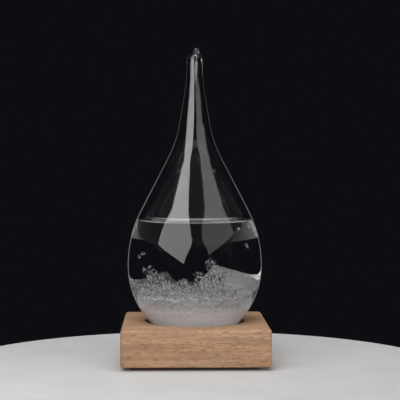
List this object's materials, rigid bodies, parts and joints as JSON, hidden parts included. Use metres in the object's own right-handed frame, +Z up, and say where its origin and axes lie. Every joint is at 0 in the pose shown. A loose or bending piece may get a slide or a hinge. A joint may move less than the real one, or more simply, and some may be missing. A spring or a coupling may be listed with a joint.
{
  "type": "storm glass",
  "caption": "Teardrop storm glass: a sealed glass drop part filled with clear liquid and white crystals, standing in a round recess in a square wooden block.",
  "frame": {"origin": "on the table, under the middle of the square base", "axes": "+Z up along the axis of the glass drop, +X to the right, +Y to the back"},
  "size_m": [0.085, 0.085, 0.1844],
  "materials": {
    "beech": "satin",
    "anti_slip": "matte",
    "felt": "matte",
    "glass": "gloss",
    "solution": "gloss",
    "crystals": "matte"
  },
  "bodies": {
    "base": {"wooden_base": "beech", "base_pad": "anti_slip"},
    "seat": {"seat_pad": "felt"},
    "drop": {"glass_drop": "glass", "storm_liquid": "solution", "crystal_bed": "crystals", "crystal_heap": "crystals", "crystal_peak": "crystals", "crystal_drift": "crystals", "wall_flakes": "crystals"}
  },
  "joints": [
    {"name": "drop_turn", "type": "hinge", "parent": "base", "child": "seat", "pos_m": [0, 0, 0.0142], "axis": [0, 0, 1], "continuous": true},
    {"name": "drop_lift", "type": "slide", "parent": "seat", "child": "drop", "axis": [0, 0, 1], "range_m": [0, 0.06]}
  ]
}
